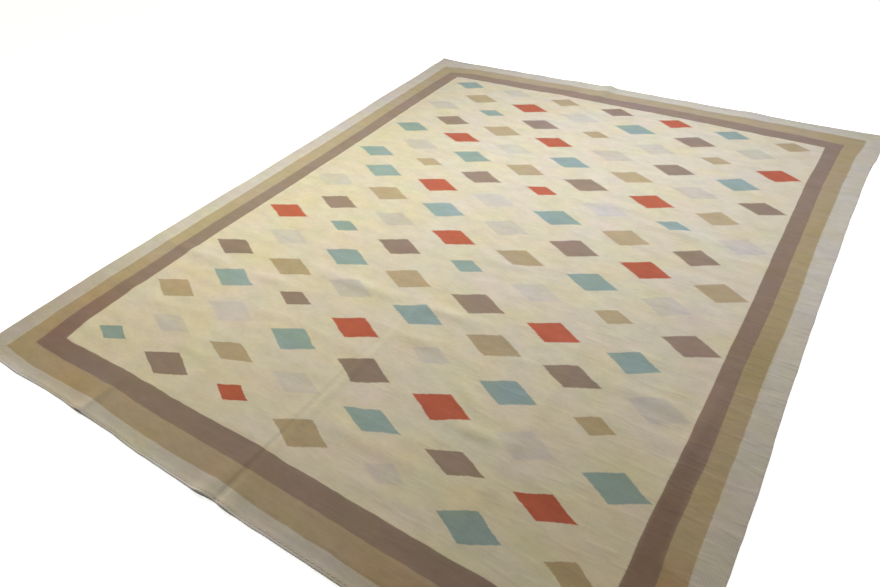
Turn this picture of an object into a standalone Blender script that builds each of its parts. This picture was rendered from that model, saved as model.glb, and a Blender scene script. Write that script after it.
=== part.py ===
"""A flat-woven wool kilim rug, laid flat, as one sheet of cloth.

Metres, +Z up. The origin is the middle of the rug, on the floor. X runs across the rug, along its wefts,
and Y runs along it, along its warps. The two short ends have a turned-under hem, which is part of the cloth.
The rug was stored folded in quarters, so soft ridges and an uneven outline stay in it.
"""
from collections import namedtuple
from math import cos, pi

import bpy
import bmesh

MM = 0.001

# The flat cloth
WIDTH = 2.440
LENGTH = 3.050
THICKNESS = 3.0 * MM

# The hem: the cloth's end is turned under, pressed flat, so its last strip is a little thicker
HEM_WIDTH = 14.0 * MM
HEM_SLOPE = 8.0 * MM
HEM_EXTRA = 1.2 * MM

# The border's inner edge. From here to the outside the cloth follows the uneven outline.
BORDER_WIDTH = 0.210

# How far each side stands out from the straight line, at places along it
Bulge = namedtuple("Bulge", "place out")
LEFT_SIDE = (
    Bulge(-1.525, -14 * MM),
    Bulge(-1.300, -5 * MM),
    Bulge(-1.000, 4 * MM),
    Bulge(-0.400, 4 * MM),
    Bulge(-0.150, 0 * MM),
    Bulge(0.250, 1 * MM),
    Bulge(0.600, 3 * MM),
    Bulge(0.850, 11 * MM),
    Bulge(1.200, 9 * MM),
    Bulge(1.400, 15 * MM),
    Bulge(1.525, 12 * MM),
)
RIGHT_SIDE = (
    Bulge(-1.525, 12 * MM),
    Bulge(-1.100, 4 * MM),
    Bulge(-0.800, 5 * MM),
    Bulge(-0.400, -3 * MM),
    Bulge(0.000, -5 * MM),
    Bulge(0.600, -4 * MM),
    Bulge(0.950, -1 * MM),
    Bulge(1.150, 4 * MM),
    Bulge(1.320, 19 * MM),
    Bulge(1.525, 26 * MM),
)
FAR_END = (
    Bulge(-1.220, -12 * MM),
    Bulge(-1.050, -19 * MM),
    Bulge(-0.850, -13 * MM),
    Bulge(-0.500, -9 * MM),
    Bulge(-0.300, 3 * MM),
    Bulge(-0.130, 3 * MM),
    Bulge(0.100, -2 * MM),
    Bulge(0.350, -2 * MM),
    Bulge(0.650, 2 * MM),
    Bulge(0.900, -6 * MM),
    Bulge(1.220, 3 * MM),
)
NEAR_END = (
    Bulge(-1.220, 0 * MM),
    Bulge(-0.950, 7 * MM),
    Bulge(-0.800, 0 * MM),
    Bulge(-0.500, 0 * MM),
    Bulge(-0.300, 6 * MM),
    Bulge(-0.090, 6 * MM),
    Bulge(-0.010, 1 * MM),
    Bulge(0.100, 5 * MM),
    Bulge(0.400, 3 * MM),
    Bulge(1.220, 7 * MM),
)

# Ridges and lifts. Each runs along X or Y at a place across, leaning as it goes. It is highest at its peak and
# dies away at its reach on both sides of that, so one whose peak is on the outline lifts the rug's edge.
Ridge = namedtuple("Ridge", "runs across lean peak reach rise width")
RIDGES = (
    # The quarter fold on the left, which lifts the near end
    Ridge("Y", -0.618, 0.00, -1.540, 0.30, 5 * MM, 0.100),
    # The middle fold: a valley between two ridges, open at the near end and faint further in
    Ridge("Y", -0.050, 0.00, -1.540, 0.20, 6 * MM, 0.090),
    Ridge("Y", 0.056, 0.00, -1.540, 0.20, 5 * MM, 0.090),
    Ridge("Y", 0.028, 0.02, -0.900, 0.90, 2 * MM, 0.070),
    # The quarter fold on the right
    Ridge("Y", 0.610, 0.00, -0.900, 0.75, 2 * MM, 0.090),
    # The far end: a bump beside the middle fold, and three low waves
    Ridge("Y", -0.125, 0.00, 1.550, 0.30, 10 * MM, 0.110),
    Ridge("Y", -0.560, 0.00, 1.550, 0.24, 2 * MM, 0.180),
    Ridge("Y", 0.340, 0.00, 1.550, 0.24, 2 * MM, 0.200),
    Ridge("Y", 0.640, 0.00, 1.550, 0.28, 3 * MM, 0.200),
    # The far corners, curled a little
    Ridge("Y", -1.250, 0.00, 1.550, 0.10, 6 * MM, 0.150),
    Ridge("Y", 1.250, 0.00, 1.550, 0.16, 4 * MM, 0.240),
    # Wrinkles across the rug, from the far end to the near end
    Ridge("X", 0.485, 0.00, -0.560, 0.24, 3 * MM, 0.090),
    Ridge("X", 0.375, -0.04, 0.440, 0.20, 3 * MM, 0.080),
    Ridge("X", 0.300, -0.02, 0.680, 0.30, 3 * MM, 0.090),
    Ridge("X", 0.020, -0.03, -0.520, 0.95, 2 * MM, 0.100),
    Ridge("X", -0.205, 0.00, 0.120, 0.24, 3 * MM, 0.090),
    Ridge("X", -0.590, 0.00, -0.240, 0.34, 4 * MM, 0.110),
    Ridge("X", -0.566, -0.02, 0.130, 0.22, 4 * MM, 0.080),
    Ridge("X", -0.590, -0.04, 0.860, 0.28, 3 * MM, 0.090),
    Ridge("X", -0.745, 0.00, -0.980, 0.40, 4 * MM, 0.090),
    Ridge("X", -0.728, 0.00, 0.120, 0.28, 3 * MM, 0.080),
    Ridge("X", -0.730, 0.00, -0.570, 0.18, 3 * MM, 0.080),
    Ridge("X", -0.965, 0.00, 0.490, 0.20, 3 * MM, 0.080),
    Ridge("X", -1.030, 0.00, -0.960, 0.34, 3 * MM, 0.090),
    Ridge("X", -1.160, 0.00, 0.220, 0.34, 2 * MM, 0.090),
)

# The plain stretches between the ridges are cut no wider than this
WIDEST_CELL = 0.125
# A ridge adds no grid line nearer than this to another line
NARROWEST_CELL = 0.020

WOOL_CREAM = (0.66, 0.60, 0.45, 1.0)


def remove_startup_objects():
    """Take away whatever the opened file holds."""
    for item in list(bpy.data.objects):
        bpy.data.objects.remove(item, do_unlink=True)


def eased(amount):
    """A smooth step from 0 to 1."""
    return (1.0 - cos(pi * min(max(amount, 0.0), 1.0))) / 2.0


def swell(distance, reach):
    """A soft hump: 1 at its middle and exactly 0 from its reach on."""
    return 1.0 - eased(abs(distance) / reach)


def bulge_at(side, place):
    """How far a side stands out at a place along it."""
    if place <= side[0].place:
        return side[0].out
    for before, after in zip(side, side[1:]):
        if place <= after.place:
            share = (place - before.place) / (after.place - before.place)
            return before.out + (after.out - before.out) * eased(share)
    return side[-1].out


def outline_shift(x, y):
    """The move that takes a point of the straight rectangle to the uneven outline."""
    near_side = max(0.0, abs(x) - (WIDTH / 2 - BORDER_WIDTH)) / BORDER_WIDTH
    near_end = max(0.0, abs(y) - (LENGTH / 2 - BORDER_WIDTH)) / BORDER_WIDTH
    sideways = bulge_at(RIGHT_SIDE, y) if x > 0 else -bulge_at(LEFT_SIDE, y)
    endways = bulge_at(FAR_END, x) if y > 0 else -bulge_at(NEAR_END, x)
    return near_side * sideways, near_end * endways


def ridge_height(ridge, x, y):
    """How far one ridge lifts the cloth at a point."""
    along, across = (x, y) if ridge.runs == "X" else (y, x)
    line = ridge.across + ridge.lean * (along - ridge.peak)
    return ridge.rise * swell(across - line, ridge.width / 2) * swell(along - ridge.peak, ridge.reach)


def lift(x, y):
    """How far the cloth's underside is off the floor."""
    return sum(ridge_height(ridge, x, y) for ridge in RIDGES)


def cloth_thickness(y):
    """The cloth's thickness, with the hem at both short ends."""
    from_end = LENGTH / 2 - abs(y)
    return THICKNESS + HEM_EXTRA * (1.0 - eased((from_end - HEM_WIDTH) / HEM_SLOPE))


def ridge_lines(direction):
    """Where the ridges want the grid cut across one direction."""
    lines = []
    for ridge in RIDGES:
        if ridge.runs == direction:
            lines += [ridge.peak + ridge.reach * step / 2 for step in (-1, 0, 1)]
        else:
            lines += [ridge.across + ridge.width * step / 4 for step in (-2, -1, 0, 1, 2)]
    return lines


def grid_lines(direction, half):
    """Where the grid is cut across one direction: close together on the ridges, wide apart on the plain."""
    lines = [-half, half]
    if direction == "Y":
        for inset in (HEM_WIDTH, HEM_WIDTH + HEM_SLOPE):
            lines += [-half + inset, half - inset]
    for wanted in sorted(ridge_lines(direction)):
        if abs(wanted) < half and min(abs(wanted - line) for line in lines) >= NARROWEST_CELL:
            lines.append(wanted)
    lines.sort()
    filled = lines[:1]
    for start, end in zip(lines, lines[1:]):
        cuts = int((end - start) / WIDEST_CELL) + 1
        filled += [start + (end - start) * cut / cuts for cut in range(1, cuts + 1)]
    return filled


def make_material(name, colour, roughness):
    """A plain surface with a colour and a roughness."""
    material = bpy.data.materials.new(name)
    material.use_nodes = True
    shader = material.node_tree.nodes["Principled BSDF"]
    shader.inputs["Base Color"].default_value = colour
    shader.inputs["Roughness"].default_value = roughness
    shader.inputs["Metallic"].default_value = 0.0
    material.diffuse_color = colour
    return material


def make_rug():
    """The rug's cloth: a grid laid to the outline and ridges, then given its thickness."""
    across = grid_lines("X", WIDTH / 2)
    along = grid_lines("Y", LENGTH / 2)
    columns = len(across) - 1
    rows = len(along) - 1
    shape = bmesh.new()
    flat_y = shape.verts.layers.float.new("flat_y")
    bmesh.ops.create_grid(shape, x_segments=columns, y_segments=rows, size=1.0)
    for corner in shape.verts:
        x = across[round((corner.co.x + 1) / 2 * columns)]
        y = along[round((corner.co.y + 1) / 2 * rows)]
        sideways, endways = outline_shift(x, y)
        corner.co = (x + sideways, y + endways, lift(x, y))
        corner[flat_y] = y
    pulled = bmesh.ops.extrude_face_region(shape, geom=shape.faces[:])
    for corner in pulled["geom"]:
        if isinstance(corner, bmesh.types.BMVert):
            corner.co.z += cloth_thickness(corner[flat_y])
    bmesh.ops.recalc_face_normals(shape, faces=shape.faces[:])
    mesh = bpy.data.meshes.new("kilim_rug")
    shape.to_mesh(mesh)
    shape.free()
    mesh.materials.append(make_material("flat_woven_wool", WOOL_CREAM, 0.95))
    rug = bpy.data.objects.new("kilim_rug", mesh)
    bpy.context.scene.collection.objects.link(rug)
    return rug


remove_startup_objects()
make_rug()
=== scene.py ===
"""The looks of a flat-woven wool kilim rug, lying spread out on a pale studio floor.

Metres, +Z up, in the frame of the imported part: X runs across the rug along its wefts, Y along it, and the
origin is the middle of the rug on the floor. The cloth is one sheet with the rug's own unevenness, and its
pattern is drawn in the material from the place that each point has on the flat cloth.
"""
from collections import namedtuple
from math import pi, radians, tau
from random import Random

import bmesh
import bpy
import numpy as np
from bpy.props import FloatProperty, FloatVectorProperty, PointerProperty
from mathutils import Matrix, Vector, noise


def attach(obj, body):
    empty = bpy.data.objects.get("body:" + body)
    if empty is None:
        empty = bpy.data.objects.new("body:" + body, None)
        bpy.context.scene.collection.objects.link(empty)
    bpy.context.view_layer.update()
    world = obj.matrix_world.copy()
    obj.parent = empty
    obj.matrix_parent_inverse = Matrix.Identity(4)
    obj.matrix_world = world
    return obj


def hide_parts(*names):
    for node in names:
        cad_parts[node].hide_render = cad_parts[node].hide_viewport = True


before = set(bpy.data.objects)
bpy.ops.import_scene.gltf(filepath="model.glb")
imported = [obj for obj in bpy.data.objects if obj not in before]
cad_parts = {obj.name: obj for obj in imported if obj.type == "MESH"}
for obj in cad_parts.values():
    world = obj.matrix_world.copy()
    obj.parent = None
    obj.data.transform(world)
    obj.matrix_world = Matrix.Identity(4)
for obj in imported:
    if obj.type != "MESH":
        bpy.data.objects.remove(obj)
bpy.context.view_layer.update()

bl_info = {
    "name": "Kilim rug",
    "version": (1, 0, 0),
    "blender": (4, 5, 0),
    "location": "3D View > Sidebar > Kilim rug",
    "description": "Weaves a flat wool rug with offset rows of lozenges, sews its hems and sets its stage",
    "category": "Add Mesh",
}

MM = 0.001


def rows_of(kind, *rows):
    """A table whose rows are all named tuples of one kind."""
    return tuple(kind(*row) for row in rows)


# How far each side of the rug stands out from the straight line, at places along it
Bulge = namedtuple("Bulge", "place out")
LEFT_SIDE = rows_of(
    Bulge,
    (-1.525, -14 * MM),
    (-1.300, -5 * MM),
    (-1.000, 4 * MM),
    (-0.400, 4 * MM),
    (-0.150, 0 * MM),
    (0.250, 1 * MM),
    (0.600, 3 * MM),
    (0.850, 11 * MM),
    (1.200, 9 * MM),
    (1.400, 15 * MM),
    (1.525, 12 * MM),
)
RIGHT_SIDE = rows_of(
    Bulge,
    (-1.525, 12 * MM),
    (-1.100, 4 * MM),
    (-0.800, 5 * MM),
    (-0.400, -3 * MM),
    (0.000, -5 * MM),
    (0.600, -4 * MM),
    (0.950, -1 * MM),
    (1.150, 4 * MM),
    (1.320, 19 * MM),
    (1.525, 26 * MM),
)
FAR_END = rows_of(
    Bulge,
    (-1.220, -12 * MM),
    (-1.050, -19 * MM),
    (-0.850, -13 * MM),
    (-0.500, -9 * MM),
    (-0.300, 3 * MM),
    (-0.130, 3 * MM),
    (0.100, -2 * MM),
    (0.350, -2 * MM),
    (0.650, 2 * MM),
    (0.900, -6 * MM),
    (1.220, 3 * MM),
)
NEAR_END = rows_of(
    Bulge,
    (-1.220, 0 * MM),
    (-0.950, 7 * MM),
    (-0.800, 0 * MM),
    (-0.500, 0 * MM),
    (-0.300, 6 * MM),
    (-0.090, 6 * MM),
    (-0.010, 1 * MM),
    (0.100, 5 * MM),
    (0.400, 3 * MM),
    (1.220, 7 * MM),
)
# The outline's small waver between those places, from the pull of each weft and hem stitch
EDGE_WAVER = 1.4 * MM
EDGE_WAVES_PER_METRE = 19.0

# Ridges and lifts. Each runs along X or Y at a place across, leaning as it goes. It is highest at its peak
# and dies away at its reach on both sides of that, so one whose peak is on the outline lifts the rug's edge.
Ridge = namedtuple("Ridge", "runs across lean peak reach rise width")
RIDGES = rows_of(
    Ridge,
    # The quarter fold on the left, which lifts the near end
    ("Y", -0.618, 0.00, -1.540, 0.30, 5 * MM, 0.100),
    # The middle fold: a valley between two ridges, open at the near end and faint further in
    ("Y", -0.050, 0.00, -1.540, 0.20, 6 * MM, 0.090),
    ("Y", 0.056, 0.00, -1.540, 0.20, 5 * MM, 0.090),
    ("Y", 0.028, 0.02, -0.900, 0.90, 2 * MM, 0.070),
    # The quarter fold on the right
    ("Y", 0.610, 0.00, -0.900, 0.75, 2 * MM, 0.090),
    # The far end: a bump beside the middle fold, and three low waves
    ("Y", -0.125, 0.00, 1.550, 0.30, 10 * MM, 0.110),
    ("Y", -0.560, 0.00, 1.550, 0.24, 2 * MM, 0.180),
    ("Y", 0.340, 0.00, 1.550, 0.24, 2 * MM, 0.200),
    ("Y", 0.640, 0.00, 1.550, 0.28, 3 * MM, 0.200),
    # The far corners, curled a little
    ("Y", -1.250, 0.00, 1.550, 0.10, 6 * MM, 0.150),
    ("Y", 1.250, 0.00, 1.550, 0.16, 4 * MM, 0.240),
    # Wrinkles across the rug, from the far end to the near end
    ("X", 0.485, 0.00, -0.560, 0.24, 3 * MM, 0.090),
    ("X", 0.375, -0.04, 0.440, 0.20, 3 * MM, 0.080),
    ("X", 0.300, -0.02, 0.680, 0.30, 3 * MM, 0.090),
    ("X", 0.020, -0.03, -0.520, 0.95, 2 * MM, 0.100),
    ("X", -0.205, 0.00, 0.120, 0.24, 3 * MM, 0.090),
    ("X", -0.590, 0.00, -0.240, 0.34, 4 * MM, 0.110),
    ("X", -0.566, -0.02, 0.130, 0.22, 4 * MM, 0.080),
    ("X", -0.590, -0.04, 0.860, 0.28, 3 * MM, 0.090),
    ("X", -0.745, 0.00, -0.980, 0.40, 4 * MM, 0.090),
    ("X", -0.728, 0.00, 0.120, 0.28, 3 * MM, 0.080),
    ("X", -0.730, 0.00, -0.570, 0.18, 3 * MM, 0.080),
    ("X", -0.965, 0.00, 0.490, 0.20, 3 * MM, 0.080),
    ("X", -1.030, 0.00, -0.960, 0.34, 3 * MM, 0.090),
    ("X", -1.160, 0.00, 0.220, 0.34, 2 * MM, 0.090),
)
# Folds too fine for the solid. Each has one width before its crest, to the left or the near side, and
# another after it, so that one side can be steep.
Fold = namedtuple("Fold", "runs across lean peak reach rise before after")
FINE_FOLDS = rows_of(
    Fold,
    # The middle fold: its steep left lip and its low right one
    ("Y", -0.010, 0.00, -1.540, 0.24, 1.1 * MM, 0.050, 0.018),
    ("Y", -0.010, 0.00, -1.540, 1.30, 2.7 * MM, 0.045, 0.018),
    ("Y", 0.029, 0.00, -1.540, 0.24, 2.6 * MM, 0.016, 0.034),
    ("Y", -0.050, 0.00, -1.545, 0.06, 3.0 * MM, 0.045, 0.030),
    # The quarter fold's crest, steep on its right
    ("Y", -0.612, 0.00, -1.540, 0.24, 2.2 * MM, 0.026, 0.018),
    # A faint line in the near border, and a low ridge along the right border
    ("Y", 0.375, 0.00, -1.540, 0.16, 2.0 * MM, 0.020, 0.020),
    ("Y", 1.035, 0.08, -0.650, 0.35, 3.0 * MM, 0.035, 0.035),
    # Cross wrinkles, steep on the near side, from the far end to the near end
    ("X", 0.345, -0.03, 0.210, 0.17, 2.4 * MM, 0.024, 0.050),
    ("X", 0.372, -0.06, 0.480, 0.13, 1.6 * MM, 0.026, 0.050),
    ("X", 0.296, -0.02, 0.680, 0.24, 1.8 * MM, 0.026, 0.060),
    ("X", -0.322, -0.02, 0.490, 0.12, 1.2 * MM, 0.024, 0.040),
    ("X", -0.481, 0.00, 0.460, 0.10, 1.2 * MM, 0.022, 0.036),
    ("X", -0.222, 0.15, 0.190, 0.10, 1.6 * MM, 0.020, 0.036),
    ("X", -0.598, 0.09, -0.235, 0.27, 2.8 * MM, 0.026, 0.060),
    ("X", -0.568, 0.12, 0.150, 0.19, 3.4 * MM, 0.022, 0.044),
    ("X", -0.596, -0.05, 0.840, 0.18, 1.0 * MM, 0.026, 0.050),
    ("X", -0.650, 0.00, 0.480, 0.08, 1.4 * MM, 0.022, 0.036),
    ("X", -0.726, 0.06, -0.570, 0.12, 1.8 * MM, 0.028, 0.040),
    ("X", -0.756, 0.00, -0.900, 0.18, 1.6 * MM, 0.026, 0.040),
    ("X", -0.714, 0.26, 0.150, 0.13, 2.2 * MM, 0.020, 0.036),
    ("X", -0.866, -0.38, 0.420, 0.15, 3.0 * MM, 0.028, 0.040),
    ("X", -0.968, -0.04, 0.490, 0.13, 1.8 * MM, 0.024, 0.040),
    ("X", -1.016, -0.05, -0.120, 0.18, 1.6 * MM, 0.026, 0.046),
    ("X", -1.078, 0.00, 0.360, 0.07, 2.0 * MM, 0.020, 0.030),
    ("X", -1.158, -0.03, 0.200, 0.16, 1.4 * MM, 0.026, 0.040),
    ("X", -1.120, -0.04, 0.600, 0.14, 1.4 * MM, 0.026, 0.040),
)
# Where the sheet's grid is closer, for those folds, how far on each side, and how close
FINE_PLACES = (-0.612, 0.003)
FINE_REACH = 52 * MM
FINE_CELL = 4.5 * MM
# Besides those, many small cross wrinkles between two places along the rug, set down by chance, and as many
# ripples at each hem
SMALL_WRINKLES = 110
NEAREST_WRINKLE, FARTHEST_WRINKLE = -1.45, 1.35
HEM_RIPPLES = 20
HEM_RIPPLE_PEAK = 1.54

# How far the shade on the floor reaches beyond the near end, for each millimetre that the end is lifted
SHADE_PER_LIFT = 0.3
# How much of its thickness the cloth keeps at its rounded edge
EDGE_FULLNESS = 0.3
# The sheet's grid lines on the rounding of that edge, from the edge in, and the first line past it at a side
ROUND_EDGE = [0.0, 0.4 * MM, 1.0 * MM, 2.2 * MM, 3.2 * MM]
PAST_EDGE = 9 * MM

# The lines between the border's bands, at places along each side: how far from the rug's middle the field
# ends (inner), the brown band meets the olive one (middle), and the olive one meets the grey (outer)
BandLines = namedtuple("BandLines", "place inner middle outer")
LEFT_BANDS = rows_of(
    BandLines,
    (-1.450, 0.950, 1.043, 1.121),
    (-1.200, 0.987, 1.067, 1.134),
    (-1.000, 0.994, 1.069, 1.139),
    (-0.600, 0.998, 1.074, 1.143),
    (-0.100, 0.992, 1.064, 1.141),
    (0.400, 0.990, 1.064, 1.139),
    (0.800, 0.994, 1.072, 1.144),
    (1.100, 0.994, 1.073, 1.143),
    (1.400, 0.990, 1.066, 1.147),
)
RIGHT_BANDS = rows_of(
    BandLines,
    (-1.450, 1.014, 1.086, 1.149),
    (-1.150, 1.014, 1.086, 1.150),
    (-1.000, 1.012, 1.079, 1.145),
    (-0.700, 1.017, 1.083, 1.143),
    (-0.300, 1.016, 1.075, 1.139),
    (0.000, 1.017, 1.081, 1.145),
    (0.500, 1.014, 1.078, 1.138),
    (0.900, 1.012, 1.075, 1.143),
    (1.200, 1.021, 1.083, 1.151),
    (1.420, 1.021, 1.094, 1.170),
)
NEAR_BANDS = rows_of(
    BandLines,
    (-1.150, 1.336, 1.406, 1.474),
    (-0.950, 1.342, 1.411, 1.484),
    (-0.650, 1.332, 1.403, 1.472),
    (-0.300, 1.332, 1.406, 1.480),
    (-0.050, 1.327, 1.402, 1.473),
    (0.150, 1.330, 1.403, 1.477),
    (0.500, 1.332, 1.404, 1.480),
    (1.150, 1.330, 1.404, 1.478),
)
FAR_BANDS = rows_of(
    BandLines,
    (-1.150, 1.270, 1.318, 1.404),
    (-0.900, 1.297, 1.369, 1.442),
    (-0.600, 1.301, 1.375, 1.444),
    (-0.300, 1.313, 1.388, 1.456),
    (-0.100, 1.309, 1.382, 1.456),
    (0.200, 1.311, 1.387, 1.458),
    (0.500, 1.305, 1.383, 1.449),
    (0.800, 1.297, 1.370, 1.454),
    (1.180, 1.291, 1.352, 1.446),
)

# The lozenges' columns across the rug
Column = namedtuple("Column", "x half_width")
COLUMNS = rows_of(
    Column,
    (-0.849, 108 * MM),
    (-0.699, 106 * MM),
    (-0.552, 112 * MM),
    (-0.397, 109 * MM),
    (-0.254, 106 * MM),
    (-0.104, 105 * MM),
    (0.047, 106 * MM),
    (0.199, 109 * MM),
    (0.351, 104 * MM),
    (0.495, 100 * MM),
    (0.635, 101 * MM),
    (0.773, 92 * MM),
    (0.907, 98 * MM),
)
# The lozenges' rows from the far end to the near end, and the yarn of each lozenge from left to right. A
# small letter is a small lozenge. The first row stands on every other column from the first, the next row on
# those between, and so on by turns.
Row = namedtuple("Row", "y half_height yarns")
ROWS = rows_of(
    Row,
    (1.230, 49 * MM, "TGOBRTO"),
    (1.082, 56 * MM, "ORGTBG"),
    (0.928, 55 * MM, "GtBoGoR"),
    (0.776, 57 * MM, "BORGBT"),
    (0.625, 54 * MM, "TRGTOGB"),
    (0.471, 57 * MM, "GTOBRO"),
    (0.319, 56 * MM, "ToBrGtG"),
    (0.169, 59 * MM, "TRGTOB"),
    (0.004, 59 * MM, "GOTGBRO"),
    (-0.154, 56 * MM, "BGROTG"),
    (-0.311, 56 * MM, "RtBtGoB"),
    (-0.470, 57 * MM, "GTOBRT"),
    (-0.624, 55 * MM, "BOGTOBG"),
    (-0.783, 56 * MM, "TbRgTo"),
    (-0.934, 58 * MM, "OGTBRGT"),
    (-1.086, 44 * MM, "GOGTBR"),
    (-1.235, 54 * MM, "tBrOgTo"),
)
YARN_OF = {"T": "teal", "R": "tomato", "B": "brown", "O": "olive", "G": "pale"}
# The first row's lozenges are narrower
FIRST_ROW_NARROWING = 0.84
# How the wefts sag: how far each row lies off its straight line, at places across the rug
ROW_SAG = rows_of(
    Bulge,
    (-0.860, -15 * MM),
    (-0.700, -8 * MM),
    (-0.400, -1 * MM),
    (0.200, 4 * MM),
    (0.550, 0 * MM),
    (0.900, 0 * MM),
)
# How the warps wander: how far the left columns and the right ones lie off their straight lines, at places
# along the rug
Wander = namedtuple("Wander", "place left right")
COLUMN_WANDER = rows_of(
    Wander,
    (-1.240, 3 * MM, 0 * MM),
    (-0.900, -5 * MM, 2 * MM),
    (-0.460, -4 * MM, 1 * MM),
    (0.100, 4 * MM, 4 * MM),
    (0.480, 5 * MM, -4 * MM),
    (0.930, 1 * MM, -8 * MM),
    (1.240, -4 * MM, -13 * MM),
)
# Columns left of the first place go with the left ones, and those right of the second with the right ones
LEFT_ENDS, RIGHT_STARTS = -0.50, 0.10
# How large a small lozenge is beside the others. It starts on the same weft as they do, at the far tip.
SMALL_SHARE = 0.70
SMALL_RISE = 16 * MM
# How far the weaver's count of the threads may be off, and how much the lozenges differ in size and tone
MISCOUNT = 2 * MM
SIZE_SPREAD = 0.03
TONE_SPREAD = 0.05
# How soft a lozenge's edge is, as a share of its size: crisp in the near rows and softer in the far ones. The
# pale ones were dyed close to the ground, and are vague.
NEAR_EDGE, FAR_EDGE = 0.035, 0.120
VAGUE_EDGE = 0.10
# How far one band's colour bleeds into the next, as a share of a band's width
LINE_BLEED = 0.02
# How far a lozenge's sides swell by its far and near tips and draw in by its left and right ones, which makes
# those long and sharp
SIDE_SWELL = 0.012

# Where the colour drifts from the rest of its band (0 the field, 1 brown, 2 olive, 3 grey): the middle of the
# patch, how far it reaches each way, what it does to the red, green and blue, and where a fold ends it on its
# right. No fold ends a patch whose end is beyond the rug. Most patches drift with the yarn's dyeing; some are
# painted light or painted shade, as their comments say, and those that a fold ends paint the light on its lit
# left slope.
BEYOND = 9.9
DyeAndLightPatch = namedtuple("DyeAndLightPatch", "band x y reach_x reach_y tint ends", defaults=(BEYOND,))
DYE_AND_LIGHT_PATCHES = rows_of(
    DyeAndLightPatch,
    # The field is yellower towards the left side. Painted shade: at the near right corner it is painted
    # darker and warmer, where the lamps' light falls off.
    (0, -1.000, 0.200, 0.90, 1.70, (1.00, 1.00, 0.94)),
    (0, 0.900, -1.300, 0.70, 0.90, (0.93, 0.92, 0.87)),
    # The left border is lighter, but towards the near corner darker, more orange and a redder brown
    (1, -1.030, 0.600, 0.30, 1.60, (1.10, 1.09, 1.06)),
    (2, -1.110, 0.400, 0.30, 1.60, (1.10, 1.12, 1.08)),
    (3, -1.180, 0.400, 0.30, 1.60, (1.05, 1.05, 1.08)),
    (1, -1.040, -1.300, 0.30, 0.60, (0.95, 0.82, 0.80)),
    (2, -1.110, -1.250, 0.30, 0.50, (0.98, 0.90, 0.80)),
    (3, -1.180, -1.250, 0.30, 0.60, (0.88, 0.85, 0.86)),
    # The right border: a yellower olive, an ochre stretch, a darker and redder brown, and a reddish near end
    (1, 1.050, -0.200, 0.20, 1.80, (0.98, 0.92, 0.88)),
    (2, 1.110, 0.000, 0.20, 3.00, (0.97, 0.93, 0.82)),
    (2, 1.110, -0.280, 0.20, 0.22, (0.88, 0.88, 0.76)),
    (1, 1.050, -1.050, 0.20, 0.60, (0.80, 0.72, 0.68)),
    (2, 1.110, -1.150, 0.20, 0.16, (0.93, 0.76, 0.70)),
    (3, 1.180, -1.000, 0.20, 1.20, (0.93, 0.92, 0.89)),
    # The near border is darker at both ends, and its grey darker. Painted light: left of the quarter fold, on
    # the fold's slope that faces the light, its olive is painted more orange and its grey paler and warmer.
    (1, 0.000, -1.370, 1.60, 0.20, (0.96, 0.93, 0.92)),
    (1, -1.000, -1.370, 0.60, 0.20, (0.93, 0.90, 0.94)),
    (1, 0.900, -1.370, 0.50, 0.20, (0.84, 0.80, 0.78)),
    (2, 0.000, -1.440, 1.60, 0.20, (0.96, 0.93, 0.93)),
    # Painted light on the lit left slope of the quarter fold, which ends the patch
    (2, -0.740, -1.440, 0.30, 0.14, (1.03, 0.97, 0.81), -0.612),
    (2, 0.700, -1.440, 0.50, 0.20, (0.90, 0.84, 0.79)),
    (3, 0.000, -1.500, 2.00, 0.20, (0.92, 0.91, 0.90)),
    (3, 0.600, -1.500, 0.60, 0.20, (0.88, 0.87, 0.88)),
    # Painted light on the lit left slope of the quarter fold, which ends the patch
    (3, -0.650, -1.500, 0.07, 0.10, (1.04, 0.99, 0.95), -0.612),
    # Painted light: the near hem's edge, which faces away from the lamps and lies in shade, is painted paler
    # and cooler, most at its very edge and most on the left.
    (3, 0.000, -1.528, 3.00, 0.007, (1.30, 1.33, 1.44)),
    (3, -0.850, -1.534, 0.90, 0.024, (1.15, 1.16, 1.28)),
    (3, -0.050, -1.534, 0.45, 0.024, (1.06, 1.08, 1.18)),
    # The far border is paler, most so on the left, and its grey cooler
    (1, 0.000, 1.360, 1.60, 0.20, (1.09, 1.06, 1.07)),
    (1, -0.700, 1.360, 0.50, 0.20, (1.08, 1.08, 1.07)),
    (2, 0.000, 1.420, 1.60, 0.20, (1.06, 1.05, 1.07)),
    (2, -0.700, 1.420, 0.50, 0.20, (1.07, 1.07, 1.08)),
    (3, 0.000, 1.490, 1.60, 0.15, (1.05, 1.06, 1.08)),
)

# Soft noise in the wool: how many of its lumps go to a metre across the rug and along it, how much finer
# detail they carry, and how strong it is in each of its three channels
Drift = namedtuple("Drift", "across along detail strength")
# How far the weaver's hand, and each turn of a weft, pull the lozenges' sides about
HAND_PULL = Drift(13.0, 13.0, 1.0, (12 * MM, 11 * MM, 0.0))
WEFT_TURNS = Drift(5.0, 260.0, 0.0, (9 * MM, 0.0, 0.0))
# How the border's lines step at each turn of a weft, and waver, as shares of a band's width
LINE_JAGS = Drift(2.0, 260.0, 1.0, (0.08, 0.0, 0.0))
LINE_WAVER = Drift(14.0, 14.0, 1.0, (0.07, 0.12, 0.0))
# How the dye drifts in its red, green and blue, and in its tone, as clouds and as the heather of the yarn
TINTS = Drift(5.5, 7.5, 4.0, (0.17, 0.12, 0.48))
CLOUDS = Drift(12.0, 26.0, 5.0, (0.31, 0.0, 0.0))
HEATHER = Drift(45.0, 110.0, 2.0, (0.16, 0.0, 0.0))
# The puckers along the wefts: their noise, how high it is at a pucker's crest, and how high that crest is
PUCKERS = Drift(8.0, 42.0, 1.0, (1.0, 0.0, 0.0))
PUCKER_FULL = 0.22
PUCKER_RELIEF = 0.6 * MM
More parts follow.
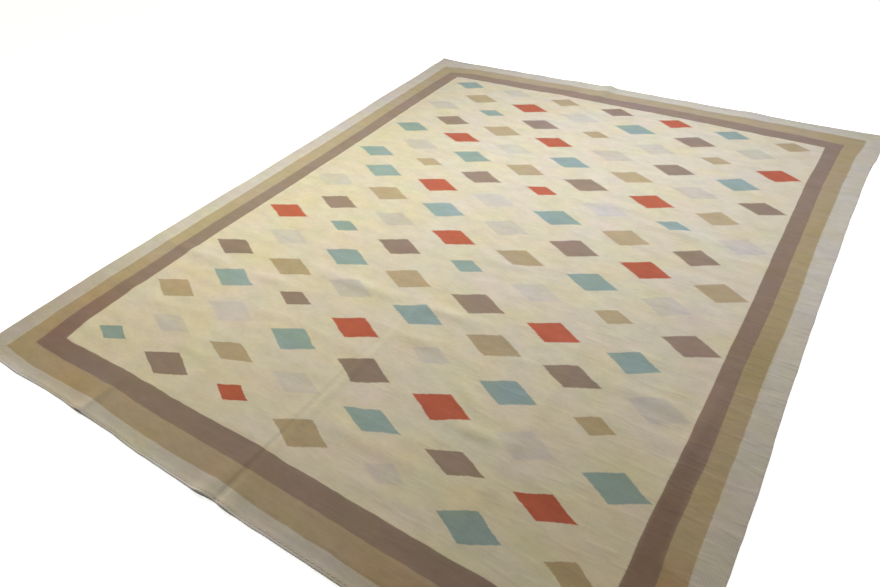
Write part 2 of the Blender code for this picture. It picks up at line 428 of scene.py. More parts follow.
# How high the ribs and picks of the weave are, and how long and high a turn of the hem's thread is
WEAVE_RELIEF = 0.06 * MM
TWIST_PITCH = 1.0 * MM
TWIST_RELIEF = 0.1 * MM

# The hem's line of stitches: how far from the side it starts, how far in from the end it runs as a share
# of the hem's width, how much it wanders, how the stitches' lengths differ, and the gaps between them
HEM_START = 6 * MM
HEM_LINE = 0.65
HEM_WANDER = 0.6 * MM
STITCH_SHARES = (0.8, 1.15)
STITCH_GAPS = (4.0 * MM, 8.0 * MM)

# The floor: half its size, its height, its glow, and how far inside the outline its dark part ends
FLOOR_HALF = 15.0
FLOOR_LEVEL = -0.5 * MM
FLOOR_GLOW = 0.75
SHADE_INSET = 4 * MM

# Node sockets that share a name with others, by their place
MIX_A, MIX_B, MIX_RESULT = 6, 7, 2
ONES = (1.0, 1.0, 1.0)


def linear(hex_colour):
    """An sRGB hex colour as linear red, green, blue and alpha."""
    shares = [int(hex_colour[place:place + 2], 16) / 255 for place in (1, 3, 5)]
    return tuple(s / 12.92 if s <= 0.04045 else ((s + 0.055) / 1.055) ** 2.4 for s in shares) + (1.0,)


def size_property(name, description, default):
    """A length that a user may change."""
    return FloatProperty(name=name, description=description, default=default, min=0.0, unit="LENGTH")


def yarn_property(name, description, hex_colour):
    """A yarn's colour that a user may change."""
    colour = linear(hex_colour)
    return FloatVectorProperty(
        name=name, description=description, subtype="COLOR", size=4, min=0.0, max=1.0, default=colour
    )


class RugSizes(bpy.types.PropertyGroup):
    """The rug's sizes."""

    width: size_property("Width", "Across the rug, along its wefts", 2.44)
    length: size_property("Length", "Along the rug, along its warps", 3.05)
    thickness: size_property("Thickness", "Of the woven cloth", 3.0 * MM)
    border: size_property("Border", "From the outline in, how far its unevenness reaches", 0.21)
    hem_width: size_property("Hem width", "Of the strip turned under at each short end", 14 * MM)
    hem_slope: size_property("Hem slope", "Where the cloth comes down from the hem", 8 * MM)
    hem_extra: size_property("Hem extra", "How much thicker the cloth is at its pressed hems", 1.2 * MM)
    cell: size_property("Mesh cell", "Widest distance between the sheet's grid lines", 14.5 * MM)
    rib: size_property("Rib pitch", "From one warp rib to the next", 6 * MM)
    pick: size_property("Pick pitch", "From one weft to the next", 2.5 * MM)
    stitch: size_property("Stitch length", "Of one hem stitch", 11 * MM)
    thread: size_property("Thread", "Thickness of the hem's thread", 2.2 * MM)


class YarnColours(bpy.types.PropertyGroup):
    """The colours of the wool."""

    cream: yarn_property("Cream", "The field's undyed wool", "#DFD5BC")
    teal: yarn_property("Teal", "Lozenges", "#99ADA7")
    tomato: yarn_property("Tomato", "Lozenges", "#C1674E")
    brown: yarn_property("Brown", "Lozenges", "#9C8879")
    olive: yarn_property("Olive", "Lozenges", "#BCA986")
    pale: yarn_property("Pale grey", "Lozenges, close to the ground", "#D1C9BA")
    band_brown: yarn_property("Inner band", "The border's brown band", "#998778")
    band_olive: yarn_property("Middle band", "The border's olive band", "#B7A789")
    band_grey: yarn_property("Outer band", "The border's grey band", "#D1CABB")
    thread: yarn_property("Hem thread", "Cotton that sews the hems", "#E6DDC4")


class StageSettings(bpy.types.PropertyGroup):
    """The floor, the lights and the camera."""

    floor: yarn_property("Floor", "The pale studio floor", "#F2F2F0")
    key_power: FloatProperty(name="Key", description="The soft light overhead, in watts", default=26.5)
    fill_power: FloatProperty(name="Fill", description="The soft light on the left, in watts", default=17.3)
    window_strength: FloatProperty(name="Window", description="Low light from the far left", default=1.9)
    air_strength: FloatProperty(name="Air", description="Light from all round", default=0.05)
    lens: FloatProperty(name="Lens", description="Focal length", default=27.68, min=1.0, unit="CAMERA")
    eye_height: size_property("Eye height", "The camera's height over the floor", 1.551)


def swell(distance, reach):
    """A soft hump: 1 in its middle and exactly 0 from its reach on."""
    return (1.0 + np.cos(pi * np.clip(np.abs(distance) / reach, 0.0, 1.0))) / 2.0


def eased_at(table, column, place):
    """One column of a table of places, at any place, eased from row to row."""
    places = np.array([row.place for row in table])
    values = np.array([getattr(row, column) for row in table])
    row = np.clip(np.searchsorted(places, place) - 1, 0, len(table) - 2)
    share = np.clip((place - places[row]) / (places[row + 1] - places[row]), 0.0, 1.0)
    return values[row] + (values[row + 1] - values[row]) * (1.0 - np.cos(pi * share)) / 2.0


def bulge_at(side, place):
    """How far a side stands out at places along it."""
    return eased_at(side, "out", place)


def waver_at(place, line):
    """The outline's small waver at places along one side, each side with a line of its own."""
    waves = [noise.noise(Vector((value * EDGE_WAVES_PER_METRE, line, 0.0))) for value in np.ravel(place)]
    return EDGE_WAVER * np.array(waves)


def laid_place(sizes, x, y):
    """Where points of the flat cloth lie, with the outline's unevenness let in across the border."""
    near_side = np.clip((np.abs(x) - (sizes.width / 2 - sizes.border)) / sizes.border, 0.0, 1.0)
    near_end = np.clip((np.abs(y) - (sizes.length / 2 - sizes.border)) / sizes.border, 0.0, 1.0)
    sideways = np.where(
        x > 0,
        bulge_at(RIGHT_SIDE, y) + waver_at(y, 1.5),
        -bulge_at(LEFT_SIDE, y) + waver_at(y, 4.5),
    )
    endways = np.where(
        y > 0,
        bulge_at(FAR_END, x) + waver_at(x, 7.5),
        -bulge_at(NEAR_END, x) + waver_at(x, 10.5),
    )
    return x + near_side * sideways, y + near_end * endways


def cloth_folds():
    """All folds: the main ridges, the fine ones, and small wrinkles that are higher towards the near end."""
    draw = Random(7)
    folds = [Fold(*ridge[:-1], ridge.width / 2, ridge.width / 2) for ridge in RIDGES]
    folds += FINE_FOLDS
    for _ in range(SMALL_WRINKLES):
        across = draw.uniform(NEAREST_WRINKLE, FARTHEST_WRINKLE)
        nearness = (FARTHEST_WRINKLE - across) / (FARTHEST_WRINKLE - NEAREST_WRINKLE)
        rise = draw.uniform(0.3, 1.2) * MM * (0.5 + nearness)
        peak = draw.uniform(-1.1, 1.1)
        lean, reach = draw.uniform(-0.05, 0.05), draw.uniform(0.08, 0.30)
        before, after = draw.uniform(0.020, 0.035), draw.uniform(0.03, 0.05)
        folds.append(Fold("X", across, lean, peak, reach, rise, before, after))
    for peak in (-HEM_RIPPLE_PEAK, HEM_RIPPLE_PEAK):
        for _ in range(HEM_RIPPLES):
            rise = draw.uniform(0.3, 1.4) * MM
            across = draw.uniform(-1.2, 1.2)
            reach, half = draw.uniform(0.05, 0.14), draw.uniform(0.03, 0.08)
            folds.append(Fold("Y", across, 0.0, peak, reach, rise, half, half))
    return folds


def lift_at(folds, x, y):
    """How far the cloth's underside is off the floor, at points of the flat cloth."""
    height = np.zeros_like(x)
    for fold in folds:
        along, across = (x, y) if fold.runs == "X" else (y, x)
        off = across - fold.across - fold.lean * (along - fold.peak)
        side = np.where(off < 0, fold.before, fold.after)
        height += fold.rise * swell(off, side) * swell(along - fold.peak, fold.reach)
    return height


def cloth_thickness(sizes, y):
    """The cloth's thickness, with the hem at both short ends."""
    past_hem = np.maximum(sizes.length / 2 - np.abs(y) - sizes.hem_width, 0.0)
    return sizes.thickness + sizes.hem_extra * swell(past_hem, sizes.hem_slope)


def fullness(sizes, x, y):
    """How much of its thickness the cloth has: all of it inside, less where its edge is rounded."""
    radius = cloth_thickness(sizes, y) / 2
    from_edge = np.minimum(sizes.width / 2 - np.abs(x), sizes.length / 2 - np.abs(y))
    inward = np.clip(from_edge / radius, 0.0, 1.0)
    return np.maximum(EDGE_FULLNESS, np.sqrt(1.0 - (1.0 - inward) ** 2))


def grid_lines(half, cell, insets, fine_places=()):
    """Where the sheet's grid is cut across one direction: at the insets by the edges, closely at the fine
    places, and evenly between."""
    inner = half - insets[-1]
    steps = int(2 * inner / cell) + 1
    lines = [-inner + 2 * inner * step / steps for step in range(steps + 1)]
    for place in fine_places:
        lines = [line for line in lines if abs(line - place) > FINE_REACH]
    for place in fine_places:
        count = round(2 * FINE_REACH / FINE_CELL)
        lines += [place - FINE_REACH + 2 * FINE_REACH * step / count for step in range(count + 1)]
    lines += [side * (half - inset) for inset in insets[:-1] for side in (-1, 1)]
    return np.array(sorted(lines))


def band_depth(lines, edge, place, distance):
    """How deep into the border points lie: under 0 in the field, 1 and 2 at the lines, and 3 at the edge."""
    inner, middle, outer = (eased_at(lines, column, place) for column in ("inner", "middle", "outer"))
    return np.where(
        distance < middle,
        (distance - inner) / (middle - inner),
        np.where(
            distance < outer,
            1.0 + (distance - middle) / (outer - middle),
            2.0 + (distance - outer) / (edge - outer),
        ),
    )


def border_depths(sizes, x, y):
    """How deep points of the laid cloth lie in the side borders, and in the end borders."""
    across = np.where(
        x > 0,
        band_depth(RIGHT_BANDS, sizes.width / 2 + bulge_at(RIGHT_SIDE, y), y, x),
        band_depth(LEFT_BANDS, sizes.width / 2 + bulge_at(LEFT_SIDE, y), y, -x),
    )
    along = np.where(
        y > 0,
        band_depth(FAR_BANDS, sizes.length / 2 + bulge_at(FAR_END, x), x, y),
        band_depth(NEAR_BANDS, sizes.length / 2 + bulge_at(NEAR_END, x), x, -y),
    )
    return across, along


def dye_drift(depth, x, y):
    """What the patches do to the red, green and blue of points at some depth of the border: drifts in the
    yarn's dyeing, and painted light and painted shade.
    """
    band = np.clip(np.ceil(depth), 0, 3)
    drift = np.ones((len(x), 3))
    for patch in DYE_AND_LIGHT_PATCHES:
        share = swell(x - patch.x, patch.reach_x) * swell(y - patch.y, patch.reach_y)
        share *= (band == patch.band) & (x < patch.ends)
        drift *= 1.0 + share[:, None] * (np.array(patch.tint) - 1.0)
    return drift


def lozenge_at(x, y):
    """The row and column of the lozenge whose cell of the field holds a point."""
    row = min(range(len(ROWS)), key=lambda index: abs(ROWS[index].y - y))
    columns = range(row % 2, len(COLUMNS), 2)
    column = min(columns, key=lambda index: abs(COLUMNS[index].x - x))
    return row, column


def lozenge_facts(draw):
    """For each row and column: a lozenge's middle, its half sizes and edge, its yarn and its tone."""
    facts = {}
    for index, row in enumerate(ROWS):
        for step, letter in enumerate(row.yarns):
            column = COLUMNS[index % 2 + 2 * step]
            rightness = min(max((column.x - LEFT_ENDS) / (RIGHT_STARTS - LEFT_ENDS), 0.0), 1.0)
            left, right = (float(eased_at(COLUMN_WANDER, side, row.y)) for side in ("left", "right"))
            x = column.x + left + rightness * (right - left) + draw.uniform(-MISCOUNT, MISCOUNT)
            y = row.y + float(bulge_at(ROW_SAG, column.x)) + draw.uniform(-MISCOUNT, MISCOUNT)
            share = draw.uniform(1.0 - SIZE_SPREAD, 1.0 + SIZE_SPREAD)
            if letter.islower():
                y += SMALL_RISE
                share *= SMALL_SHARE
            narrowing = FIRST_ROW_NARROWING if index == 0 else 1.0
            crisp_edge = FAR_EDGE + (NEAR_EDGE - FAR_EDGE) * index / len(ROWS)
            edge = VAGUE_EDGE if letter in "Gg" else crisp_edge
            half = (column.half_width * share * narrowing, row.half_height * share, edge)
            tone = draw.uniform(1.0 - TONE_SPREAD, 1.0 + TONE_SPREAD)
            facts[index, index % 2 + 2 * step] = ((x, y, 0.0), half, YARN_OF[letter.upper()], tone)
    return facts


def add_node(tree, kind, inputs=None, **settings):
    """Add a node with its settings, and set each input to a value or link it to a socket."""
    made = tree.nodes.new(kind)
    for name, value in settings.items():
        setattr(made, name, value)
    for key, value in (inputs or {}).items():
        if isinstance(value, bpy.types.NodeSocket):
            tree.links.new(value, made.inputs[key])
        else:
            made.inputs[key].default_value = value
    return made


def new_material(name):
    """An empty node material and its tree."""
    material = bpy.data.materials.new(name)
    material.use_nodes = True
    material.node_tree.nodes.clear()
    return material, material.node_tree


def maths(tree, operation, *values):
    """What a maths node makes of one to three values."""
    return add_node(tree, "ShaderNodeMath", dict(enumerate(values)), operation=operation).outputs["Value"]


def vector_maths(tree, operation, *vectors):
    """What a vector maths node makes of one to three vectors."""
    made = add_node(tree, "ShaderNodeVectorMath", dict(enumerate(vectors)), operation=operation)
    return made.outputs["Vector"]


def wave(tree, value, pitch):
    """A sine wave along a value, with one turn for each pitch."""
    return maths(tree, "SINE", maths(tree, "MULTIPLY", value, tau / pitch))


def ramp(tree, value, start, end, low=0.0, high=1.0, kind="LINEAR"):
    """What goes from low to high as a value goes from start to end."""
    inputs = {"Value": value, "From Min": start, "From Max": end, "To Min": low, "To Max": high}
    return add_node(tree, "ShaderNodeMapRange", inputs, interpolation_type=kind).outputs["Result"]


def attribute(tree, name, output):
    """What the mesh holds under a name, at each place."""
    return add_node(tree, "ShaderNodeAttribute", attribute_name=name).outputs[output]


def channels(tree, vector):
    """The X, Y and Z of a vector."""
    return add_node(tree, "ShaderNodeSeparateXYZ", {"Vector": vector}).outputs


def mixed(tree, share, first, second):
    """The first colour where the share is 0 and the second where it is 1."""
    inputs = {0: share, MIX_A: first, MIX_B: second}
    return add_node(tree, "ShaderNodeMix", inputs, data_type="RGBA").outputs[MIX_RESULT]


def soft_noise(tree, place, drift, around):
    """Soft noise in three channels around a vector, as wide, as fine and as strong as its drift says."""
    spread = vector_maths(tree, "MULTIPLY", place, (drift.across, drift.along, 1.0))
    made = add_node(tree, "ShaderNodeTexNoise", {"Vector": spread, "Scale": 1.0, "Detail": drift.detail})
    centred = vector_maths(tree, "SUBTRACT", made.outputs["Color"], (0.5, 0.5, 0.5))
    return vector_maths(tree, "MULTIPLY_ADD", centred, drift.strength, around)


def drawn_place(tree, place):
    """The place on the pattern: the flat place, pulled about by the weaver's hand and by each turn of a weft,
    where the colour ends a little sooner or later."""
    pulled = soft_noise(tree, place, HAND_PULL, around=place)
    return soft_noise(tree, place, WEFT_TURNS, around=pulled)


def lozenge_share(tree, drawn):
    """1 inside a lozenge and 0 outside. Its side is where the two distances from its middle, as shares of its
    half sizes, add up to 1, give or take the swell of its sides."""
    half = attribute(tree, "lozenge_half", "Vector")
    away = vector_maths(tree, "SUBTRACT", drawn, attribute(tree, "lozenge_middle", "Vector"))
    shares = channels(tree, vector_maths(tree, "ABSOLUTE", vector_maths(tree, "DIVIDE", away, half)))
    straight = maths(tree, "ADD", shares["X"], shares["Y"])
    total = maths(tree, "MULTIPLY_ADD", wave(tree, shares["X"], 1.0), -SIDE_SWELL, straight)
    edge = channels(tree, half)["Z"]
    inner = maths(tree, "SUBTRACT", 1.0, edge)
    outer = maths(tree, "ADD", 1.0, edge)
    return ramp(tree, total, inner, outer, low=1.0, high=0.0, kind="SMOOTHSTEP")


def border_step(tree, place):
    """How deep into the border a place lies: over 0 in the brown band, 1 in the olive and 2 in the grey.
    The side bands' lines step at each weft's turn, and all lines waver."""
    depths = {"X": attribute(tree, "depth_across", "Fac"), "Y": attribute(tree, "depth_along", "Fac")}
    straight = add_node(tree, "ShaderNodeCombineXYZ", depths).outputs["Vector"]
    jagged = soft_noise(tree, place, LINE_JAGS, around=straight)
    wavered = channels(tree, soft_noise(tree, place, LINE_WAVER, around=jagged))
    return maths(tree, "MAXIMUM", wavered["X"], wavered["Y"])


def pattern_colour(tree, place, yarns):
    """The yarn's colour at each place: the lozenges on the cream field, and the border's three bands."""
    lozenges = lozenge_share(tree, drawn_place(tree, place))
    field = mixed(tree, lozenges, yarns.cream, attribute(tree, "lozenge_yarn", "Color"))
    step = border_step(tree, place)
    bands = add_node(tree, "ShaderNodeValToRGB", {"Fac": maths(tree, "DIVIDE", step, 3.0)})
    stops = bands.color_ramp.elements
    stops[0].position = (1 - LINE_BLEED) / 3
    stops[0].color = yarns.band_brown
    stops[1].position = (1 + LINE_BLEED) / 3
    stops[1].color = yarns.band_olive
    stops.new((2 - LINE_BLEED) / 3).color = yarns.band_olive
    stops.new((2 + LINE_BLEED) / 3).color = yarns.band_grey
    in_border = ramp(tree, step, -LINE_BLEED, LINE_BLEED)
    return mixed(tree, in_border, field, bands.outputs["Color"])


def colour_with_dye_and_painted_light(tree, place, colour):
    """The colour with its drift: the patches, which are partly the yarn's dyeing and partly painted light and
    painted shade, soft tints, lighter and darker clouds, and the heather of the yarn along the wefts."""
    # The patches' drift, partly painted light and painted shade
    drifted = vector_maths(tree, "MULTIPLY", colour, attribute(tree, "dye_drift", "Vector"))
    tinted = vector_maths(tree, "MULTIPLY", drifted, soft_noise(tree, place, TINTS, around=ONES))
    clouds = soft_noise(tree, place, CLOUDS, around=ONES)
    tone = channels(tree, soft_noise(tree, place, HEATHER, around=clouds))["X"]
    dyed_and_lit = add_node(tree, "ShaderNodeVectorMath", {0: tinted, "Scale": tone}, operation="SCALE")
    return dyed_and_lit.outputs["Vector"]


def woven_normal(tree, place, sizes):
    """The weave's relief: warp ribs crossed by picks, on a cloth that puckers along its wefts, most in the
    right border. Real ribs are 4 mm and picks 1.2 mm apart: both are drawn coarser here, to show."""
    flat = channels(tree, place)
    rib = wave(tree, flat["X"], sizes.rib)
    weave = maths(tree, "MULTIPLY_ADD", wave(tree, flat["Y"], sizes.pick), rib, rib)
    weave_bump = add_node(tree, "ShaderNodeBump", {"Height": weave, "Distance": WEAVE_RELIEF})
    pucker = channels(tree, soft_noise(tree, place, PUCKERS, around=(0.0, 0.0, 0.0)))["X"]
    # Only the upper half of the noise rises, so the puckers are short
    crest = ramp(tree, pucker, 0.0, PUCKER_FULL, kind="SMOOTHSTEP")
    in_side = ramp(tree, attribute(tree, "depth_across", "Fac"), 0.0, 1.0, low=0.55)
    to_right = ramp(tree, flat["X"], -0.6, 0.6, low=0.2)
    height = maths(tree, "MULTIPLY", crest, maths(tree, "MULTIPLY", in_side, to_right))
    relief = {"Height": height, "Distance": PUCKER_RELIEF, "Normal": weave_bump.outputs["Normal"]}
    return add_node(tree, "ShaderNodeBump", relief).outputs["Normal"]


def give_surface(tree, inputs):
    """Give a material its surface."""
    shader = add_node(tree, "ShaderNodeBsdfPrincipled", inputs)
    add_node(tree, "ShaderNodeOutputMaterial", {"Surface": shader.outputs["BSDF"]})


def wool_material(sizes, yarns):
    """Flat-woven wool: matt, a little fuzzy, finely ribbed by its warps, its dyeing in tones that drift, with
    painted light and painted shade in some patches.
    """
    material, tree = new_material("flat_woven_wool")
    to_flat = {
        "Vector": add_node(tree, "ShaderNodeUVMap", uv_map="flat_cloth").outputs["UV"],
        "Scale": (sizes.width, sizes.length, 1.0),
        "Location": (-sizes.width / 2, -sizes.length / 2, 0.0),
    }
    place = add_node(tree, "ShaderNodeMapping", to_flat).outputs["Vector"]
    give_surface(
        tree,
        {
            "Base Color": colour_with_dye_and_painted_light(tree, place, pattern_colour(tree, place, yarns)),
            "Roughness": 0.95,
            "Specular IOR Level": 0.15,
            "Sheen Weight": 0.06,
            "Sheen Roughness": 0.5,
            "Normal": woven_normal(tree, place, sizes),
        },
    )
    return material


def thread_material(yarns):
    """Twisted cotton sewing thread: paler and smoother than the wool, with its turns as fine slants, and
    painted shade darkening the grooves between them.
    """
    material, tree = new_material("twisted_cotton_thread")
    place = add_node(tree, "ShaderNodeTexCoord").outputs["Object"]
    slant = add_node(tree, "ShaderNodeVectorMath", {0: place, 1: ONES}, operation="DOT_PRODUCT")
    twist = wave(tree, slant.outputs["Value"], TWIST_PITCH)
    bump = add_node(tree, "ShaderNodeBump", {"Height": twist, "Distance": TWIST_RELIEF})
    # Painted shade: the thread's colour goes darker towards the grooves between its turns
    shade = ramp(tree, twist, -1.0, 1.0, low=0.86)
    give_surface(
        tree,
        {
            "Base Color": mixed(tree, shade, linear("#A79F8C"), yarns.thread),
            "Roughness": 0.75,
            "Normal": bump.outputs["Normal"],
        },
    )
    return material


def floor_material(colour, glow):
    """A painted studio floor: matt and pale. Its glow lifts it to plain white in the camera's view."""
    material, tree = new_material("painted_studio_floor")
    give_surface(
        tree,
        {
            "Base Color": colour,
            "Roughness": 0.9,
            "Specular IOR Level": 0.1,
            "Emission Color": (1.0, 1.0, 1.0, 1.0),
            "Emission Strength": glow,
        },
    )
    return material


def piece_from(shape, name, material):
    """Turn a bmesh into a piece of the scene, at the origin."""
    mesh = bpy.data.meshes.new(name)
    shape.to_mesh(mesh)
    shape.free()
    mesh.materials.append(material)
    piece = bpy.data.objects.new(name, mesh)
    bpy.context.scene.collection.objects.link(piece)
    return piece


class RUG_OT_weave_cloth(bpy.types.Operator):
    """Weave the rug: one sheet of cloth with its border, lozenges, hems and unevenness"""

    bl_idname = "rug.weave_cloth"
    bl_label = "Weave the cloth"

    def execute(self, context):
        sizes = context.scene.rug_sizes
        yarns = context.scene.rug_yarns
        hem = [sizes.hem_width / 2] + [sizes.hem_width + sizes.hem_slope * share for share in (0.0, 0.5, 1.0)]
        across = grid_lines(sizes.width / 2, sizes.cell, ROUND_EDGE + [PAST_EDGE], FINE_PLACES)
        along = grid_lines(sizes.length / 2, sizes.cell, ROUND_EDGE + hem)
        shape = bmesh.new()
        names = ("flat_x", "flat_y", "depth_across", "depth_along")
        flat_x, flat_y, depth_across, depth_along = map(shape.verts.layers.float.new, names)
        drift_layer = shape.verts.layers.float_vector.new("dye_drift")
        columns, rows = len(across) - 1, len(along) - 1
        bmesh.ops.create_grid(shape, x_segments=columns, y_segments=rows, size=1.0)
        for corner in shape.verts:
            corner[flat_x] = across[round((corner.co.x + 1) / 2 * columns)]
            corner[flat_y] = along[round((corner.co.y + 1) / 2 * rows)]
        self.draw_lozenges(shape, (flat_x, flat_y), yarns)
        self.lay(shape.verts, (flat_x, flat_y), sizes, top=False)
        x, y, _ = np.array([corner.co for corner in shape.verts]).T
        sideways, endways = border_depths(sizes, x, y)
        # Each corner's drift of colour: partly the yarn's dyeing, partly painted light and painted shade
        drifts = dye_drift(np.maximum(sideways, endways), x, y)
        for corner, side_depth, end_depth, drift in zip(shape.verts, sideways, endways, drifts):
            corner[depth_across] = side_depth
            corner[depth_along] = end_depth
            corner[drift_layer] = drift
        pulled = bmesh.ops.extrude_face_region(shape, geom=shape.faces[:])
        top = [item for item in pulled["geom"] if isinstance(item, bmesh.types.BMVert)]
        self.lay(top, (flat_x, flat_y), sizes, top=True)
        bmesh.ops.recalc_face_normals(shape, faces=shape.faces[:])
        unit_place = shape.loops.layers.uv.new("flat_cloth")
        for face in shape.faces:
            face.smooth = True
            for loop in face.loops:
                corner = loop.vert
                share_x = corner[flat_x] / sizes.width
                share_y = corner[flat_y] / sizes.length
                loop[unit_place].uv = (share_x + 0.5, share_y + 0.5)
        rug = piece_from(shape, "woven_rug", wool_material(sizes, yarns))
        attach(rug, "root")
        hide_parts("kilim_rug")
        return {"FINISHED"}

    def lay(self, corners, flat, sizes, top):
        """Put the sheet's corners where they lie, on its underside or on its top."""
        x = np.array([corner[flat[0]] for corner in corners])
        y = np.array([corner[flat[1]] for corner in corners])
        laid_x, laid_y = laid_place(sizes, x, y)
        full = fullness(sizes, x, y)
        share = (1.0 + full) / 2 if top else (1.0 - full) / 2
        z = lift_at(cloth_folds(), x, y) + cloth_thickness(sizes, y) * share
        for corner, place in zip(corners, np.column_stack((laid_x, laid_y, z))):
            corner.co = place

    def draw_lozenges(self, shape, flat, yarns):
        """Tell each face of the field which lozenge's cell it lies in."""
        middle_of = shape.faces.layers.float_vector.new("lozenge_middle")
        half_of = shape.faces.layers.float_vector.new("lozenge_half")
        yarn_of = shape.faces.layers.float_color.new("lozenge_yarn")
        facts = lozenge_facts(Random(11))
        for face in shape.faces:
            x = sum(corner[flat[0]] for corner in face.verts) / len(face.verts)
            y = sum(corner[flat[1]] for corner in face.verts) / len(face.verts)
            middle, half, yarn, tone = facts[lozenge_at(x, y)]
            face[middle_of] = middle
            face[half_of] = half
            colour = getattr(yarns, yarn)
            face[yarn_of] = (colour[0] * tone, colour[1] * tone, colour[2] * tone, 1.0)


class RUG_OT_sew_hems(bpy.types.Operator):
    """Sew the hems: a line of cotton stitches along each short end"""

    bl_idname = "rug.sew_hems"
    bl_label = "Sew the hems"

    def execute(self, context):
        sizes = context.scene.rug_sizes
        draw = Random(5)
        shape = bmesh.new()
        folds = cloth_folds()
        for end in (-1, 1):
            starts, longs = [-sizes.width / 2 + HEM_START], []
            while starts[-1] < sizes.width / 2 - 2 * sizes.stitch:
                longs.append(sizes.stitch * draw.uniform(*STITCH_SHARES))
                starts.append(starts[-1] + longs[-1] + draw.uniform(*STITCH_GAPS))
            wander = np.array([draw.uniform(-HEM_WANDER, HEM_WANDER) for _ in longs])
            y = end * (sizes.length / 2 - sizes.hem_width * HEM_LINE + wander)
            heads = self.on_hem(sizes, folds, np.array(starts[:-1]), y)
            tails = self.on_hem(sizes, folds, np.array(starts[:-1]) + np.array(longs), y)
            for head, tail in zip(heads, tails):
                self.add_stitch(shape, Vector(head), Vector(tail), sizes.thread)
        for face in shape.faces:
            face.smooth = True
        stitches = piece_from(shape, "hem_stitches", thread_material(context.scene.rug_yarns))
        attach(stitches, "root")
        return {"FINISHED"}

    def on_hem(self, sizes, folds, x, y):
        """Points on the top of the laid hem."""
        laid_x, laid_y = laid_place(sizes, x, y)
        return np.column_stack((laid_x, laid_y, lift_at(folds, x, y) + cloth_thickness(sizes, y)))

    def add_stitch(self, shape, head, tail, thread):
        """One stitch: a slim flat bead of thread, pressed into the hem."""
        turn = (tail - head).to_track_quat("X", "Z").to_matrix().to_4x4()
        bulk = Matrix.Diagonal(((tail - head).length / 2, thread / 2, thread / 4, 1.0))
        middle = (head + tail) / 2 + Vector((0.0, 0.0, thread * 0.1))
        bmesh.ops.create_uvsphere(
            shape,
            u_segments=6,
            v_segments=5,
            radius=1.0,
            matrix=Matrix.Translation(middle) @ turn @ bulk @ Matrix.Rotation(radians(90), 4, "Y"),
        )


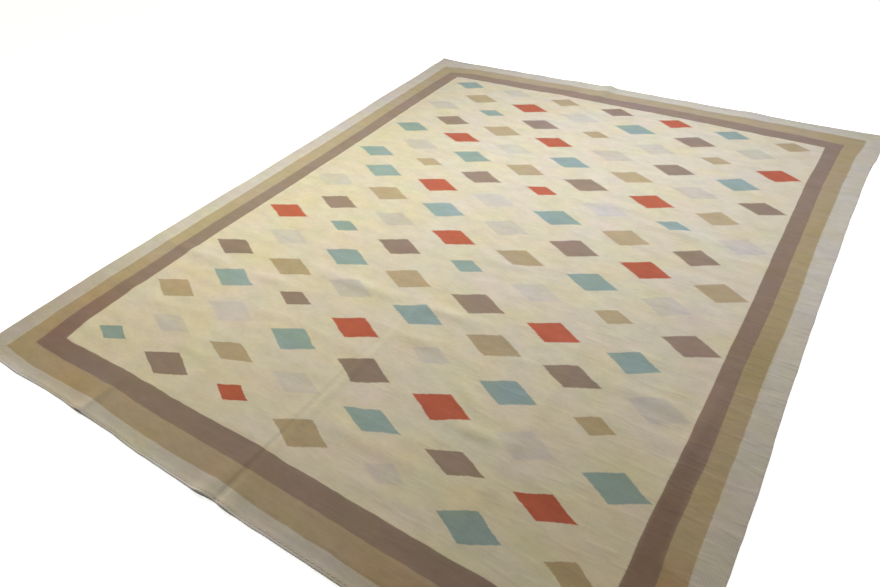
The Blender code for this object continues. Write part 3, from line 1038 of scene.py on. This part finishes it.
class RUG_OT_set_stage(bpy.types.Operator):
    """Set the stage: a pale floor, soft light from overhead and all round, and the camera"""

    bl_idname = "rug.set_stage"
    bl_label = "Set the stage"

    def execute(self, context):
        self.lay_floor(context.scene)
        self.hang_lights(context.scene)
        self.stand_camera(context.scene)
        context.scene.view_settings.view_transform = "Standard"
        return {"FINISHED"}

    def lay_floor(self, scene):
        """A wide floor. The part that the rug covers has no glow, so it is dark under a lifted edge."""
        sizes, stage = scene.rug_sizes, scene.rug_stage
        outer = bmesh.new()
        bmesh.ops.create_grid(outer, x_segments=1, y_segments=1, size=FLOOR_HALF)
        bmesh.ops.translate(outer, verts=outer.verts[:], vec=(0.0, 0.0, FLOOR_LEVEL))
        floor = piece_from(outer, "floor", floor_material(stage.floor, FLOOR_GLOW))
        inner = bmesh.new()
        bmesh.ops.create_grid(inner, x_segments=160, y_segments=12, size=1.0)
        share_x, share_y, _ = np.array([corner.co for corner in inner.verts]).T
        x, y = share_x * sizes.width / 2, share_y * sizes.length / 2
        laid_x, laid_y = laid_place(sizes, x, y)
        # It ends inside the rug's outline, but reaches out under the near end, further where that is lifted
        reach = np.where(share_y < -0.99, SHADE_PER_LIFT * lift_at(cloth_folds(), x, y), -SHADE_INSET)
        laid_x = laid_x - SHADE_INSET * share_x
        laid_y = laid_y + reach * share_y
        for corner, place in zip(inner.verts, np.column_stack((laid_x, laid_y))):
            corner.co = (place[0], place[1], FLOOR_LEVEL / 2)
        shade = piece_from(inner, "floor_under_rug", floor_material(stage.floor, 0.0))

    def hang_lights(self, scene):
        """Two soft lights overhead, a window's low light from the far left, and a little from all round."""
        stage = scene.rug_stage
        key = self.hang_softbox(scene, "key_softbox", size=1.6, power=stage.key_power)
        key.location = (0.20, 0.90, 1.80)
        key.data.color = (0.93, 1.00, 1.19)
        fill = self.hang_softbox(scene, "fill_softbox", size=0.8, power=stage.fill_power)
        fill.location = (-1.20, -0.40, 1.80)
        fill.data.color = (1.02, 1.00, 0.82)
        day = bpy.data.lights.new("window_light", "SUN")
        day.energy = stage.window_strength
        day.angle = radians(20)
        day.color = (1.0, 0.90, 0.74)
        window = bpy.data.objects.new("window_light", day)
        towards_rug = Vector((0.58, -0.70, -0.42))
        window.matrix_world = towards_rug.to_track_quat("-Z", "Y").to_matrix().to_4x4()
        scene.collection.objects.link(window)
        air = bpy.data.worlds.new("studio_air")
        air.use_nodes = True
        backdrop = air.node_tree.nodes["Background"]
        backdrop.inputs["Color"].default_value = (1.0, 0.90, 0.75, 1.0)
        backdrop.inputs["Strength"].default_value = stage.air_strength
        scene.world = air

    def hang_softbox(self, scene, name, size, power):
        """A square soft light that shines straight down."""
        light = bpy.data.lights.new(name, "AREA")
        light.shape = "SQUARE"
        light.size = size
        light.energy = power
        lamp = bpy.data.objects.new(name, light)
        scene.collection.objects.link(lamp)
        return lamp

    def stand_camera(self, scene):
        """The camera stands beyond the rug's near right corner and looks down towards its far left."""
        stage = scene.rug_stage
        lens = bpy.data.cameras.new("photo_view")
        lens.lens = stage.lens
        lens.sensor_width = 36.0
        camera = bpy.data.objects.new("photo_view", lens)
        heading = Matrix.Rotation(radians(36.05), 4, "Z")
        tilt = Matrix.Rotation(radians(90 - 38.95), 4, "X")
        roll = Matrix.Rotation(radians(-4.21), 4, "Z")
        place = Matrix.Translation((1.178, -2.030, stage.eye_height))
        camera.matrix_world = place @ heading @ tilt @ roll
        scene.collection.objects.link(camera)
        scene.camera = camera


class RUG_PT_panel(bpy.types.Panel):
    """The rug's sizes, yarns and steps"""

    bl_label = "Kilim rug"
    bl_space_type = "VIEW_3D"
    bl_region_type = "UI"
    bl_category = "Kilim rug"

    def draw(self, context):
        for group in (context.scene.rug_sizes, context.scene.rug_yarns, context.scene.rug_stage):
            box = self.layout.box()
            for name in group.__annotations__:
                box.prop(group, name)
        for step in (RUG_OT_set_stage, RUG_OT_weave_cloth, RUG_OT_sew_hems):
            self.layout.operator(step.bl_idname)


CLASSES = (
    RugSizes,
    YarnColours,
    StageSettings,
    RUG_OT_set_stage,
    RUG_OT_weave_cloth,
    RUG_OT_sew_hems,
    RUG_PT_panel,
)


def register():
    for part in CLASSES:
        bpy.utils.register_class(part)
    bpy.types.Scene.rug_sizes = PointerProperty(type=RugSizes)
    bpy.types.Scene.rug_yarns = PointerProperty(type=YarnColours)
    bpy.types.Scene.rug_stage = PointerProperty(type=StageSettings)


def unregister():
    del bpy.types.Scene.rug_stage
    del bpy.types.Scene.rug_yarns
    del bpy.types.Scene.rug_sizes
    for part in reversed(CLASSES):
        bpy.utils.unregister_class(part)


def main():
    register()
    bpy.ops.rug.set_stage()
    bpy.ops.rug.weave_cloth()
    bpy.ops.rug.sew_hems()


if __name__ == "__main__":
    main()
